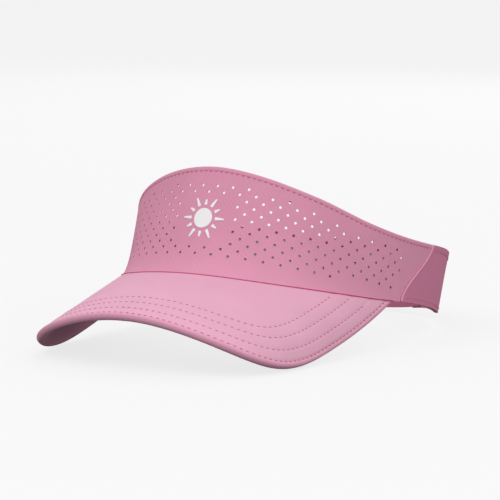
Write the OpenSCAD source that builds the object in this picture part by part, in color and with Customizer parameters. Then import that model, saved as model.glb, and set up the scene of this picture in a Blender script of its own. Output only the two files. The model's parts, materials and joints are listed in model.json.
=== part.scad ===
// Sun visor with a perforated crown, a covered brim and a hook-and-loop rear closure.
// +Z is up, the wearer faces -Y and the wearer's left is +X.
// The visor rests on the two low sides of its brim and on its rear strap.

/* [Band] */
// Half the width of the band, at the side hinges
half_width = 84.5; // [74:0.5:96]
// Depth of the band in front of the side hinges
front_depth = 108; // [95:1:125]
// Rise of the band's lower edge at the sides
side_rise = 11.5; // [4:0.5:16]
// Rise of the band's lower edge at the back
back_rise = 18.5; // [12:0.5:24]
// Backward lean of the crown at the centre front, in degrees
front_lean = 5; // [0:0.5:14]
// Outward lean of the band at the sides, in degrees
side_flare = 4.5; // [0:0.5:10]
// How far the crown swells out where it meets the brim
seam_swell = 5.5; // [0:0.5:8]

/* [Crown] */
// Height of the crown at the centre front
crown_height = 61; // [48:1:72]
// Height of the band where the crown ends
side_height = 34.5; // [28:0.5:42]
// Thickness of the crown fabric
crown_t = 1.2; // [0.8:0.1:2]
// Angle at which the side seam starts at the lower edge, in degrees from the front
seam_low_angle = 78; // [74:1:84]
// Angle at which the side seam ends at the upper edge, in degrees from the front
seam_high_angle = 89; // [84:1:92]
// Width of the turned hem inside the crown's upper edge
hem_w = 8; // [5:0.5:12]
// Thickness of the turned hem
hem_t = 0.8; // [0.5:0.1:1.2]
// Width of the raised piping on the side seams
piping_w = 1.6; // [1:0.1:2.4]
// How far the piping stands proud of the fabric
piping_proud = 0.5; // [0.2:0.1:0.8]

/* [Sweatband] */
// Height of the sweatband
sweatband_h = 30; // [22:1:32]
// Thickness of the sweatband's towelling cover
sweatband_t = 1.2; // [0.8:0.1:2]
// Thickness of the foam behind the sweatband
foam_t = 1.6; // [1:0.1:3]
// Height of the tape that covers the brim's seam inside the crown
seam_tape_h = 9; // [6:0.5:12]
// Thickness of that tape
seam_tape_t = 0.8; // [0.5:0.1:1.2]

/* [Brim] */
// Downward slope of the brim from the band, in degrees
brim_droop = 31; // [24:1:40]
// Half the width of the brim, measured along its curve
brim_half_width = 98; // [90:1:104]
// Distance of the brim's widest points in front of the hinges, along the brim
brim_side_reach = 81; // [66:1:88]
// Distance from the widest points to the front edge, along the brim
brim_front_reach = 81; // [70:1:90]
// Squareness of the brim's outline, where 2 is an ellipse
brim_squareness = 3.1; // [2.2:0.1:4]
// Narrowing of the brim towards its front edge, as a share of the width
brim_taper = 0.06; // [-0.2:0.01:0.2]
// Angle at which the brim ends on the band, in degrees from the front
brim_end_angle = 74; // [68:1:77]
// Thickness of the stiff board inside the brim
board_t = 2; // [1.4:0.1:2.6]
// Thickness of each of the brim's covers
cover_t = 0.7; // [0.5:0.1:1]
// Depth of the folded binding around the brim's edge
binding_w = 3; // [2:0.5:5]

/* [Rear closure] */
// Thickness of the rear panels
panel_t = 1.2; // [0.8:0.1:1.6]
// Thickness of the rear panels' linings
lining_t = 0.7; // [0.5:0.1:1]
// Angle at which the rear panels end, in degrees from the front
panel_end_angle = 150; // [144:1:154]
// Width of the straps
strap_w = 25; // [18:1:27]
// Thickness of the straps
strap_t = 1.1; // [0.8:0.1:1.4]
// Angle at which the under strap starts, beneath the left rear panel
under_strap_start = 142; // [136:1:144]
// Angle at which the under strap ends, past the centre back
under_strap_end = 197; // [186:1:199]
// Angle at which the over strap starts, on the right rear panel
over_strap_start = 218; // [214:1:224]
// Angle at which the closure tab hinges off the over strap
tab_hinge_angle = 190; // [188:1:200]
// Angle at which the closure tab ends
tab_end_angle = 165; // [163:1:172]
// Thickness of the hook tape
hook_t = 0.8; // [0.5:0.1:1.2]
// Thickness of the loop tape
loop_t = 0.9; // [0.5:0.1:1.2]
// Gap between the hook tape and the loop tape
grip_gap = 0.4; // [0.3:0.05:0.6]
// Size of the stitched patches that hold the straps
tack_w = 6; // [4:0.5:8]

/* [Emblem] */
// Diameter of the sun's disc
sun_disc_d = 11; // [8:0.5:14]
// Diameter over the sun's rays
sun_ray_d = 25; // [20:0.5:30]
// Height of the emblem's centre above the brim's seam
sun_height = 32; // [28:0.5:36]

/* [Hidden] */

// Clearance between two layers of one body, and across the side seams
layer_gap = 0.1;
seam_gap = 0.5;
// Length over which the crown's swell dies away
swell_reach = 6;
// Number of steps along the long pieces, across them, and along the brim's rulings
crown_steps = 60;
panel_steps = 20;
brim_steps = 64;
brim_rows = 7;

pink = [0.84, 0.53, 0.65];
light_pink = [0.88, 0.66, 0.75];
deep_pink = [0.72, 0.41, 0.53];
pale = [0.93, 0.78, 0.84];

// A curve through [position, value] stations, level at its first and last station
function station(t, x, i = 0) = (i >= len(t) - 2 || x <= t[i + 1][0]) ? i : station(t, x, i + 1);
function steepness(t, i) = (i == 0 || i == len(t) - 1)
    ? 0 : (t[i + 1][1] - t[i - 1][1]) / (t[i + 1][0] - t[i - 1][0]);
function smooth(t, x) =
    let (i = station(t, x), w = t[i + 1][0] - t[i][0], s = (x - t[i][0]) / w)
    (2 * s^3 - 3 * s^2 + 1) * t[i][1] + (s^3 - 2 * s^2 + s) * w * steepness(t, i)
    + (3 * s^2 - 2 * s^3) * t[i + 1][1] + (s^3 - s^2) * w * steepness(t, i + 1);
function mix(a, b, t) = a + (b - a) * t;
function ease(t) = t * t * (3 - 2 * t);

// The band's lower edge rises from the front to the back; its height falls from the front
edge_rise = [
    [0, 0], [30, side_rise * 0.05], [60, side_rise * 0.4], [90, side_rise],
    [120, side_rise + (back_rise - side_rise) * 0.35], [180, back_rise]
];
crown_drop = crown_height - side_height;
edge_height = [
    [0, crown_height], [20, crown_height - crown_drop * 0.11], [40, side_height + crown_drop * 0.6],
    [60, side_height + crown_drop * 0.22], [80, side_height],
    [105, side_height], [180, side_height]
];
function fold(a) = abs(a) > 180 ? 360 - abs(a) : abs(a);
function low_z(a) = smooth(edge_rise, fold(a));
function tall(a) = smooth(edge_height, fold(a));

// The band in plan: half an ellipse in front of the hinges, half a circle behind them
function depth(a) = cos(a) > 0 ? front_depth : half_width;
function plan(a) = [half_width * sin(a), -depth(a) * cos(a)];
function outward(a) =
    let (n = [sin(a) / half_width, -cos(a) / depth(a)])
    n / norm(n);
// The outward lean is greatest at the sides and is gone where the straps begin
flare_end = 140;
function flare_share(a) = fold(a) < 90 ? sin(a)^2
    : cos(90 * min((fold(a) - 90) / (flare_end - 90), 1))^2;
function lean(a) = front_lean * ((1 + cos(a)) / 2)^2 - side_flare * flare_share(a);
function swell(a, v) = seam_swell * exp(-v / swell_reach) * max(cos(a), 0)^2;
// A point of the band at angle a, v up from the lower edge, d out from the fabric's face
function band_point(a, v, d) =
    let (p = plan(a) + outward(a) * (d - sin(lean(a)) * v + swell(a, v)))
    [p.x, p.y, low_z(a) + cos(lean(a)) * v];

// A closed skin over a row of rings that all have the same number of points
function ring_faces(rings, size) = [
    for (i = [0 : rings - 2], j = [0 : size - 1])
        let (k = (j + 1) % size)
        each [[i * size + j, i * size + k, (i + 1) * size + j],
              [i * size + k, (i + 1) * size + k, (i + 1) * size + j]]
];
// The end caps of a strip: m points up one side of each ring and m points down the other
function strip_caps(rings, m) = [
    for (j = [0 : m - 2])
        let (a = j, b = j + 1, c = 2 * m - 2 - j, d = 2 * m - 1 - j, e = (rings - 1) * 2 * m)
        each [[a, d, b], [b, d, c], [e + a, e + b, e + d], [e + b, e + c, e + d]]
];
module strip(rings, m) {
    points = [for (ring = rings) each ring];
    faces = concat(ring_faces(len(rings), 2 * m), strip_caps(len(rings), m));
    polyhedron(points = points, faces = faces, convexity = 6);
}

// A layer of the band between angles a0(w) and a1(w), from v0(a) to v1(a) up the fabric,
// with its faces at d_out and d_in; rows lists the shares of the height that get a line
crown_rows = [0, 0.04, 0.08, 0.14, 0.2, 0.3, 0.4, 0.5, 0.6, 0.7, 0.8, 0.9, 1];
panel_rows = [for (i = [0 : 10]) i / 10];

// The side seam leans back as it climbs, in an S
function seam_angle(w) = mix(seam_low_angle, seam_high_angle, ease(w));
function crown_ring(u, v0, v1, d_out, d_in, rows, inset) =
    let (outer = [for (w = rows)
            let (a = u * (seam_angle(w) - inset), v = mix(v0, tall(a) + v1, w))
            band_point(a, v, d_out)],
         inner = [for (w = rows)
            let (a = u * (seam_angle(w) - inset), v = mix(v0, tall(a) + v1, w))
            band_point(a, v, d_in)])
    concat(outer, [for (i = [len(rows) - 1 : -1 : 0]) inner[i]]);
module crown_layer(v0, v1, d_out, d_in, inset) {
    strip([for (i = [0 : crown_steps])
        crown_ring(2 * i / crown_steps - 1, v0, v1, d_out, d_in, crown_rows, inset)], len(crown_rows));
}

// A tape that follows the band between two angles and two heights above the lower edge;
// all tapes are divided at the same heights, so that layers lie evenly on each other
tape_lines = [1, 2, 3, 4.5, 6, 8, 11, 15, 20];
module band_tape(a0, a1, v0, v1, d_out, d_in, steps) {
    rows = concat([v0], [for (l = tape_lines) if (l > v0 + 0.2 && l < v1 - 0.2) l], [v1]);
    strip([for (i = [0 : steps])
        let (a = mix(a0, a1, i / steps),
             outer = [for (v = rows) band_point(a, v, d_out)],
             inner = [for (v = rows) band_point(a, v, d_in)])
        concat(outer, [for (j = [len(rows) - 1 : -1 : 0]) inner[j]])], len(rows));
}

// Depths of the layers inside the crown, measured from the fabric's outer face
hem_d = crown_t + layer_gap;
foam_d = crown_t + layer_gap;
tape_end = brim_end_angle;
sweatband_end = seam_low_angle - 3;
// The foam stops below the turned hem
foam_h = min(sweatband_h, side_height - hem_w) - 1;

// --- Crown ---

module crown_panel() {
    color(pink) crown_layer(0, 0, 0, -crown_t, degrees_of(piping_w + layer_gap));
}

// The angle that spans a length along the band near the side hinges
function degrees_of(len) = len / front_depth * 180 / PI;

module top_hem() {
    a_end = seam_high_angle - 4;
    color(deep_pink)
    strip([for (i = [0 : crown_steps])
        let (a = mix(-a_end, a_end, i / crown_steps), top = tall(a) - layer_gap,
             outer = [for (w = [0, 1]) band_point(a, top - hem_w * (1 - w), -hem_d)],
             inner = [for (w = [1, 0]) band_point(a, top - hem_w * (1 - w), -hem_d - hem_t)])
        concat(outer, inner)], 2);
}

module brim_seam_tape() {
    color(deep_pink)
    band_tape(-tape_end, tape_end, layer_gap, seam_tape_h, -foam_d, -foam_d - seam_tape_t, crown_steps);
}

module sweatband_foam() {
    color("white")
    band_tape(-sweatband_end + 1, sweatband_end - 1, seam_tape_h + layer_gap, foam_h,
        -foam_d, -foam_d - foam_t, crown_steps);
}

module sweatband_cover() {
    d = foam_d + foam_t + layer_gap;
    color(pale)
    band_tape(-sweatband_end, sweatband_end, layer_gap, sweatband_h, -d, -d - sweatband_t, crown_steps);
}

// Raised piping along each side seam
piping_rows = [for (i = [0 : 10]) i / 10];
module side_piping(side) {
    color(pale)
    strip([for (w = piping_rows)
        let (a = seam_angle(w) * side, half = degrees_of(piping_w / 2) * side, v = tall(a) * w,
             mid = a - half)
        [band_point(mid - half, v, 0), band_point(mid, v, piping_proud), band_point(mid + half, v, 0),
         band_point(mid + half, v, -crown_t), band_point(mid, v, -crown_t - layer_gap),
         band_point(mid - half, v, -crown_t)]], 3);
}
module left_side_piping() {
    side_piping(1);
}
module right_side_piping() {
    side_piping(-1);
}

// Generic sun emblem: a disc with rays, laid on the crown's centre front
emblem_t = 0.3;
emblem_lift = 0.15;
ray_count = 12;
function crown_spot(x, h, d) =
    band_point(x / half_width * 180 / PI, sun_height + h, d);
module on_crown(outline) {
    n = len(outline);
    front = [for (p = outline) crown_spot(p.x, p.y, emblem_lift + emblem_t)];
    back = [for (p = outline) crown_spot(p.x, p.y, emblem_lift)];
    middle = [for (s = [1, 0]) crown_spot(mean_x(outline), mean_y(outline), emblem_lift + emblem_t * s)];
    faces = [for (i = [0 : n - 1])
        let (j = (i + 1) % n)
        each [[i, j, 2 * n], [n + j, n + i, 2 * n + 1], [j, i, n + i], [j, n + i, n + j]]];
    polyhedron(points = concat(front, back, middle), faces = faces, convexity = 4);
}
function mean_x(l) = [for (p = l) p.x] * [for (p = l) 1] / len(l);
function mean_y(l) = [for (p = l) p.y] * [for (p = l) 1] / len(l);
module sun_emblem() {
    ray_root = sun_disc_d / 2 + 1.8;
    disc_sides = 36;
    color("white") {
        on_crown([for (i = [0 : disc_sides - 1])
            let (t = -i * 360 / disc_sides) sun_disc_d / 2 * [cos(t), sin(t)]]);
        for (i = [0 : ray_count - 1])
            let (t = i * 360 / ray_count, long = i % 2 == 0 ? sun_ray_d / 2 : sun_ray_d / 2 - 2)
            on_crown([for (p = [[ray_root, -0.9], [ray_root, 0.9], [long, 0.45], [long, -0.45]])
                [p.x * cos(t) - p.y * sin(t), p.x * sin(t) + p.y * cos(t)]]);
    }
}

// --- Brim ---

// The brim is a sheet bent in one direction: its rulings run forward and down from the band
ruling = [0, -cos(brim_droop), -sin(brim_droop)];
sheet_up = [0, -sin(brim_droop), cos(brim_droop)];
// The bent section: the band's lower edge seen along the rulings, unrolled into a length
section_steps = 90;
section_a = [for (i = [0 : section_steps]) i * 90 / section_steps];
section_p = [for (a = section_a) band_point(a, 0, 0)];
section_xq = [for (p = section_p) [p.x, p * sheet_up]];
section_s = [for (i = 0, s = 0; i <= section_steps;
    s = s + (i < section_steps ? norm(section_xq[i + 1] - section_xq[i]) : 0), i = i + 1) s];
section_y = [for (p = section_p) p * ruling];
function arc_of(a) = lookup(a, [for (i = [0 : section_steps]) [section_a[i], section_s[i]]]);
x_table = [for (i = [0 : section_steps]) [section_s[i], section_xq[i].x]];
q_table = [for (i = [0 : section_steps]) [section_s[i], section_xq[i].y]];
y_table = [for (i = [0 : section_steps]) [section_s[i], section_y[i]]];
function section_at(s) = [lookup(s, x_table), lookup(s, q_table)];
function section_normal(s) =
    let (e = 1, t = section_at(min(s + e, section_s[section_steps])) - section_at(max(s - e, 0)))
    [-t.y, t.x] / norm(t);

// A point of the brim from its flat pattern: s across, y forward, d up from the top face
function brim_point(s, y, d) =
    let (r = abs(s), sq = section_at(r), n = section_normal(r) + [0, 0],
         reach = y - lookup(r, y_table),
         x = sq.x * (1 - brim_taper * reach / half_width) + n.x * d)
    [sign(s) * x, 0, 0] + (sq.y + n.y * d) * sheet_up + y * ruling;

// The flat pattern's outline: a squarish front, then a side that runs back to the band
end_s = arc_of(brim_end_angle);
end_y = lookup(end_s, y_table);
front_share = 0.72;
function outline(u) =
    let (r = abs(u), t = max(r - front_share, 0) / (1 - front_share),
         a = min(r / front_share, 1) * 90, e = 2 / brim_squareness)
    [sign(u) * (brim_half_width * sin(a)^e + (end_s - brim_half_width) * t^2),
     brim_side_reach + brim_front_reach * cos(a)^e - (brim_side_reach - end_y) * t];
// The seam's point that belongs to the outline's point at u
function seam_point(u) =
    let (a = brim_end_angle * abs(u), s = arc_of(a))
    [sign(u) * s, lookup(s, y_table) + brim_seat];
// The outline drawn in by an even margin
function inset_outline(u, margin) =
    let (e = 0.004, t = outline(min(u + e, 1)) - outline(max(u - e, -1)), n = [-t.y, t.x] / norm(t))
    outline(u) - n * margin;

// The brim starts just clear of the crown's lower edge
brim_seat = 0.8;
// Clearance between the binding and the layers that it wraps
rim_gap = 0.4;
// The layers stop short of the pointed ends of the brim
layer_share = 0.94;
binding_share = 0.98;
// Clearance between the brim's covers and its board
brim_gap = 0.25;
stack_t = board_t + 2 * cover_t + 2 * brim_gap;
function brim_u(i) = sin(90 * (2 * i / brim_steps - 1));
module brim_layer(d_top, d_bottom, margin) {
    strip([for (i = [0 : brim_steps])
        let (u = brim_u(i) * layer_share, p0 = seam_point(u), p1 = inset_outline(u, margin),
             top = [for (j = [0 : brim_rows])
                let (p = mix(p0, p1, j / brim_rows)) brim_point(p.x, p.y, d_top)],
             bottom = [for (j = [brim_rows : -1 : 0])
                let (p = mix(p0, p1, j / brim_rows)) brim_point(p.x, p.y, d_bottom)])
        concat(top, bottom)], brim_rows + 1);
}
module brim_top_cover() {
    color(light_pink) brim_layer(0, -cover_t, binding_w + rim_gap);
}
module brim_board() {
    color("white")
    brim_layer(-cover_t - brim_gap, -cover_t - brim_gap - board_t, binding_w + rim_gap);
}
module brim_bottom_cover() {
    color(pink)
    brim_layer(-stack_t + cover_t, -stack_t, binding_w + rim_gap);
}
// The rolled binding: a rounded rim around the edges of the three layers
roll = [[0, 0], [0.55, 0.12], [0.9, 0.32], [1, 0.5], [0.9, 0.68], [0.55, 0.88], [0, 1]];
function rim_spot(u, r) =
    let (p = inset_outline(u, binding_w * (1 - r.x))) brim_point(p.x, p.y, -stack_t * r.y);
module brim_binding() {
    color(pink)
    strip([for (i = [0 : brim_steps])
        let (u = brim_u(i) * binding_share)
        [for (r = concat(roll, [[0.02, 0.5]]))
            rim_spot(u, r)]],
        (len(roll) + 1) / 2);
}

// --- Rear panels and straps ---

strap_mid_z = low_z(panel_end_angle) + tall(panel_end_angle) / 2;
strap_z0 = strap_mid_z - strap_w / 2;
// The panel narrows to the strap: its edges run from the band's edges to the strap's edges
taper_start = 112;
function narrow(a) = ease(min(max((fold(a) - taper_start) / (panel_end_angle - taper_start), 0), 1));
function panel_point(side, a, w, d) =
    let (v = mix(0, tall(a), w), p = band_point(a, v, d), c = mix(strap_z0, strap_z0 + strap_w, w))
    [side * p.x, p.y, mix(p.z, c, narrow(a))];
module rear_layer(side, d_out, d_in, end_angle, gap) {
    strip([for (i = [0 : panel_steps])
        let (outer = [for (w = panel_rows)
                panel_point(side, mix(seam_angle(w) + degrees_of(gap), end_angle, i / panel_steps), w, d_out)],
             inner = [for (j = [len(panel_rows) - 1 : -1 : 0])
                let (w = panel_rows[j])
                panel_point(side, mix(seam_angle(w) + degrees_of(gap), end_angle, i / panel_steps), w, d_in)])
        side > 0 ? concat(outer, inner) : mirrored(concat(outer, inner))], len(panel_rows));
}
// A mirrored ring is listed the other way round, so that its faces still look outward
function mirrored(ring) = [for (i = [0 : len(ring) - 1]) ring[(len(ring) - 1 - i)]];

module left_rear_panel() {
    color(deep_pink) rear_layer(1, 0, -panel_t, panel_end_angle, seam_gap);
}
module right_rear_panel() {
    color(deep_pink) rear_layer(-1, 0, -panel_t, panel_end_angle, seam_gap);
}
lining_d = panel_t + layer_gap;
lining_inset = 2;
module left_rear_lining() {
    color(pink) rear_layer(1, -lining_d, -lining_d - lining_t, panel_end_angle - 1, lining_inset);
}
module right_rear_lining() {
    color(pink) rear_layer(-1, -lining_d, -lining_d - lining_t, panel_end_angle - 1, lining_inset);
}

// A curved tape about the band's rear axis, between two angles from the front
module arc_tape(r_in, r_out, a0, a1, z0, z1) {
    rotate([0, 0, a0 - 90])
    rotate_extrude(angle = a1 - a0, $fn = 180)
    translate([r_in, z0])
    square([r_out - r_in, z1 - z0]);
}
// Radii of the closure's layers, from the outside in
tab_r = half_width + layer_gap + strap_t;
tab_in = half_width + layer_gap;
hook_r = tab_in - layer_gap / 2;
hook_in = hook_r - hook_t;
loop_r = hook_in - grip_gap;
loop_in = loop_r - loop_t;
under_r = loop_in - layer_gap / 2;
under_in = under_r - strap_t;
tape_margin = 1.5;
// Angles of the tapes on their straps
loop_start = 155;
loop_end = under_strap_end - 2;
hook_start = tab_end_angle + 1;
hook_end = tab_hinge_angle - 2;

module under_strap() {
    color(deep_pink)
    arc_tape(under_in, under_r, under_strap_start, under_strap_end, strap_z0, strap_z0 + strap_w);
}
module loop_tape() {
    color(pale)
    arc_tape(loop_in, loop_r, loop_start, loop_end, strap_z0 + tape_margin, strap_z0 + strap_w - tape_margin);
}
module over_strap() {
    color(deep_pink)
    arc_tape(tab_in, tab_r, tab_hinge_angle + 0.3, over_strap_start, strap_z0, strap_z0 + strap_w);
}
module closure_tab() {
    color(deep_pink)
    arc_tape(tab_in, tab_r, tab_end_angle, tab_hinge_angle, strap_z0, strap_z0 + strap_w);
}
module hook_tape() {
    color(pale)
    arc_tape(hook_in, hook_r, hook_start, hook_end, strap_z0 + tape_margin, strap_z0 + strap_w - tape_margin);
}
tack_t = 0.4;
tack_span = tack_w / half_width * 180 / PI;
module left_strap_tack() {
    a = under_strap_start + 1;
    color(pale)
    arc_tape(under_in - layer_gap / 2 - tack_t, under_in - layer_gap / 2, a, a + tack_span,
        strap_z0 + tape_margin, strap_z0 + strap_w - tape_margin);
}
module right_strap_tack() {
    a = over_strap_start - 1 - tack_span;
    color(pale)
    arc_tape(tab_r + layer_gap / 2, tab_r + layer_gap / 2 + tack_t, a, a + tack_span,
        strap_z0 + tape_margin, strap_z0 + strap_w - tape_margin);
}

// --- Resting place ---

// The visor tips back until the rear strap and the brim's low sides reach one level
rim = [for (i = [0 : brim_steps / 2])
    let (u = i * 2 / brim_steps, p = inset_outline(u, 0)) brim_point(p.x, p.y, -stack_t)];
heel = [0, tab_r, strap_z0];
rest_pitch = max([for (p = rim) atan2(heel.z - p.z, heel.y - p.y)]);
function tipped(p) = [
    p.x, p.y * cos(rest_pitch) + p.z * sin(rest_pitch), p.z * cos(rest_pitch) - p.y * sin(rest_pitch)
];
floor_z = min([for (p = rim) tipped(p).z]);
front_y = min([for (i = [0 : brim_steps], r = roll) tipped(rim_spot(brim_u(i) * binding_share, r)).y]);
// The strap's upper edge is the rearmost once the visor is tipped
back_y = tipped([0, tab_r, strap_z0 + strap_w]).y;
module at_rest() {
    translate([0, -(front_y + back_y) / 2, -floor_z])
    rotate([-rest_pitch, 0, 0])
    children();
}

at_rest() crown_panel();
at_rest() top_hem();
at_rest() sweatband_cover();
at_rest() sweatband_foam();
at_rest() brim_seam_tape();
at_rest() brim_top_cover();
at_rest() brim_board();
at_rest() brim_bottom_cover();
at_rest() brim_binding();
at_rest() sun_emblem();
at_rest() left_side_piping();
at_rest() right_side_piping();
at_rest() left_rear_panel();
at_rest() left_rear_lining();
at_rest() under_strap();
at_rest() loop_tape();
at_rest() left_strap_tack();
at_rest() right_rear_panel();
at_rest() right_rear_lining();
at_rest() over_strap();
at_rest() right_strap_tack();
at_rest() closure_tab();
at_rest() hook_tape();
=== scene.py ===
import json
import math

import bpy
import numpy as np
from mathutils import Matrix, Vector
from mathutils.geometry import delaunay_2d_cdt


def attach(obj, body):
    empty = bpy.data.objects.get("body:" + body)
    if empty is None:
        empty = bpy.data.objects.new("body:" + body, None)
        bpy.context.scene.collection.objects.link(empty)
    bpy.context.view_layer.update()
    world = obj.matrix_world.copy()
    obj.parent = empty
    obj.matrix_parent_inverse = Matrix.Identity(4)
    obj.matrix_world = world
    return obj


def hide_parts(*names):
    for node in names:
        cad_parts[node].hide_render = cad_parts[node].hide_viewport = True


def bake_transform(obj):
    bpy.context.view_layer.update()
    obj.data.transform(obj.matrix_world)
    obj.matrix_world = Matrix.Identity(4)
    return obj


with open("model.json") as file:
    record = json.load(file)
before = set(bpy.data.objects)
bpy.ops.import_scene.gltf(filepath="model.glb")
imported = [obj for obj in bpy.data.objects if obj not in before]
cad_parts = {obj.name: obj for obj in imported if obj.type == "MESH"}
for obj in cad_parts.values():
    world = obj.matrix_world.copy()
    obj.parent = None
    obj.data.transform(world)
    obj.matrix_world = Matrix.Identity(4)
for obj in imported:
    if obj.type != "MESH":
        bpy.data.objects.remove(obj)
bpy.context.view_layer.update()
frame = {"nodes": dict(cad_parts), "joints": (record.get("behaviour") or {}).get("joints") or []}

MM = 0.001

# --- Sizes of the visor in its band frame, in millimetres (the same values as the CAD model) ---

HALF_WIDTH = 84.5
FRONT_DEPTH = 108.0
SIDE_RISE, BACK_RISE = 11.5, 18.5
CROWN_HEIGHT, SIDE_HEIGHT = 61.0, 34.5
FRONT_LEAN, SIDE_FLARE, FLARE_END = 5.0, 4.5, 140.0
SEAM_SWELL, SWELL_REACH = 5.5, 6.0
SEAM_LOW, SEAM_HIGH = 78.0, 89.0
CROWN_T = 1.2
# The shown fabric is thinner than the CAD shell, so that the perforations read as holes in cloth
SHOWN_CROWN_T = 0.6
COVER_T = 0.7
HEM_STITCH_DOWN = 2.5
CLOTH_EDGE_STITCH = 3.4
PANEL_END, TAPER_START = 150.0, 112.0
STRAP_W, STRAP_T = 25.0, 1.1
BRIM_DROOP = math.radians(31.0)
BRIM_HALF_WIDTH, BRIM_SIDE_REACH, BRIM_FRONT_REACH = 98.0, 81.0, 81.0
BRIM_SQUARENESS, BRIM_TAPER, BRIM_END = 3.1, 0.06, 74.0
STACK_T = 3.9
SUN_HEIGHT = 32.0

# --- Placing: the left side hinge gives the turn and shift from the band frame to the resting frame ---

joints = {j["name"]: j for j in frame["joints"]}
flex = joints["left_wing_flex"]
TIP = math.atan2(flex["axis"][1], flex["axis"][2])
HINGE_HEIGHT = 28.5


def turned(p):
    """Band-frame vectors turned into the resting frame."""
    p = np.asarray(p, float)
    c, s = math.cos(TIP), math.sin(TIP)
    return np.stack([p[..., 0], p[..., 1] * c + p[..., 2] * s, p[..., 2] * c - p[..., 1] * s], -1)


SHIFT = np.array(flex["pos_m"]) - turned([HALF_WIDTH, 0, HINGE_HEIGHT]) * MM


def placed(p):
    """Band-frame points in millimetres as resting-frame points in metres."""
    return turned(p) * MM + SHIFT


# --- The band's surface ---

def smooth(stations, x):
    """A curve through (position, value) stations, level at both ends."""
    k = np.array([s[0] for s in stations], float)
    v = np.array([s[1] for s in stations], float)
    steep = np.zeros(len(k))
    steep[1:-1] = (v[2:] - v[:-2]) / (k[2:] - k[:-2])
    x = np.asarray(x, float)
    i = np.clip(np.searchsorted(k, x, side="left") - 1, 0, len(k) - 2)
    w = k[i + 1] - k[i]
    t = (x - k[i]) / w
    return ((2 * t**3 - 3 * t**2 + 1) * v[i] + (t**3 - 2 * t**2 + t) * w * steep[i]
            + (3 * t**2 - 2 * t**3) * v[i + 1] + (t**3 - t**2) * w * steep[i + 1])


DROP = CROWN_HEIGHT - SIDE_HEIGHT
EDGE_RISE = [(0, 0), (30, SIDE_RISE * 0.05), (60, SIDE_RISE * 0.4), (90, SIDE_RISE),
             (120, SIDE_RISE + (BACK_RISE - SIDE_RISE) * 0.35), (180, BACK_RISE)]
EDGE_HEIGHT = [(0, CROWN_HEIGHT), (20, CROWN_HEIGHT - DROP * 0.11), (40, SIDE_HEIGHT + DROP * 0.6),
               (60, SIDE_HEIGHT + DROP * 0.22), (80, SIDE_HEIGHT), (105, SIDE_HEIGHT), (180, SIDE_HEIGHT)]


def fold(a):
    a = np.abs(a)
    return np.where(a > 180, 360 - a, a)


def low_z(a):
    return smooth(EDGE_RISE, fold(a))


def tall(a):
    return smooth(EDGE_HEIGHT, fold(a))


def ease(t):
    return t * t * (3 - 2 * t)


def seam_angle(w):
    return SEAM_LOW + (SEAM_HIGH - SEAM_LOW) * ease(w)


def band_point(a, v, d):
    """The point at angle a from the front, v up from the lower edge and d out from the fabric's face."""
    a, v, d = np.broadcast_arrays(np.asarray(a, float), v, d)
    r = np.radians(a)
    s, c = np.sin(r), np.cos(r)
    depth = np.where(c > 0, FRONT_DEPTH, HALF_WIDTH)
    n = np.stack([s / HALF_WIDTH, -c / depth], -1)
    n /= np.linalg.norm(n, axis=-1)[..., None]
    back = np.cos(np.pi / 2 * np.clip((fold(a) - 90) / (FLARE_END - 90), 0, 1)) ** 2
    flare = np.where(fold(a) < 90, s**2, back)
    lean = np.radians(FRONT_LEAN * ((1 + c) / 2) ** 2 - SIDE_FLARE * flare)
    swell = SEAM_SWELL * np.exp(-v / SWELL_REACH) * np.maximum(c, 0) ** 2
    o = d - np.sin(lean) * v + swell
    return np.stack([HALF_WIDTH * s + n[..., 0] * o, -depth * c + n[..., 1] * o,
                     low_z(a) + np.cos(lean) * v], -1)


# Length along the band at mid-height, from the centre front
ARC_A = np.linspace(-185, 185, 1481)
_arc = band_point(ARC_A, 25.0, 0)
ARC_S = np.r_[0, np.cumsum(np.linalg.norm(np.diff(_arc[:, :2], axis=0), axis=1))]
ARC_S -= np.interp(0, ARC_A, ARC_S)


def angle_at(s):
    return np.interp(s, ARC_S, ARC_A)


def arc_at(a):
    return np.interp(a, ARC_A, ARC_S)


# --- The brim's surface: a sheet bent in one direction ---

RULING = np.array([0, -math.cos(BRIM_DROOP), -math.sin(BRIM_DROOP)])
SHEET_UP = np.array([0, -math.sin(BRIM_DROOP), math.cos(BRIM_DROOP)])
_a = np.linspace(0, 90, 361)
_p = band_point(_a, 0, 0)
SEC_X, SEC_Q, SEC_Y = _p[:, 0], _p @ SHEET_UP, _p @ RULING
SEC_S = np.r_[0, np.cumsum(np.hypot(np.diff(SEC_X), np.diff(SEC_Q)))]
END_S = np.interp(BRIM_END, _a, SEC_S)
END_Y = np.interp(END_S, SEC_S, SEC_Y)
FRONT_SHARE = 0.72


def brim_point(s, y, d):
    """The point of the brim at (s, y) of its flat pattern, d above its top face."""
    s, y, d = np.broadcast_arrays(np.asarray(s, float), y, d)
    r = np.abs(s)
    e = 1.0
    tx = np.interp(r + e, SEC_S, SEC_X) - np.interp(np.maximum(r - e, 0), SEC_S, SEC_X)
    tq = np.interp(r + e, SEC_S, SEC_Q) - np.interp(np.maximum(r - e, 0), SEC_S, SEC_Q)
    m = np.hypot(tx, tq)
    x = np.interp(r, SEC_S, SEC_X) * (1 - BRIM_TAPER * (y - np.interp(r, SEC_S, SEC_Y)) / HALF_WIDTH)
    x = x - tq / m * d * np.minimum(r, 1)
    q = np.interp(r, SEC_S, SEC_Q) + tx / m * d
    return np.stack([np.sign(s) * x, q * SHEET_UP[1] + y * RULING[1], q * SHEET_UP[2] + y * RULING[2]], -1)


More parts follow.
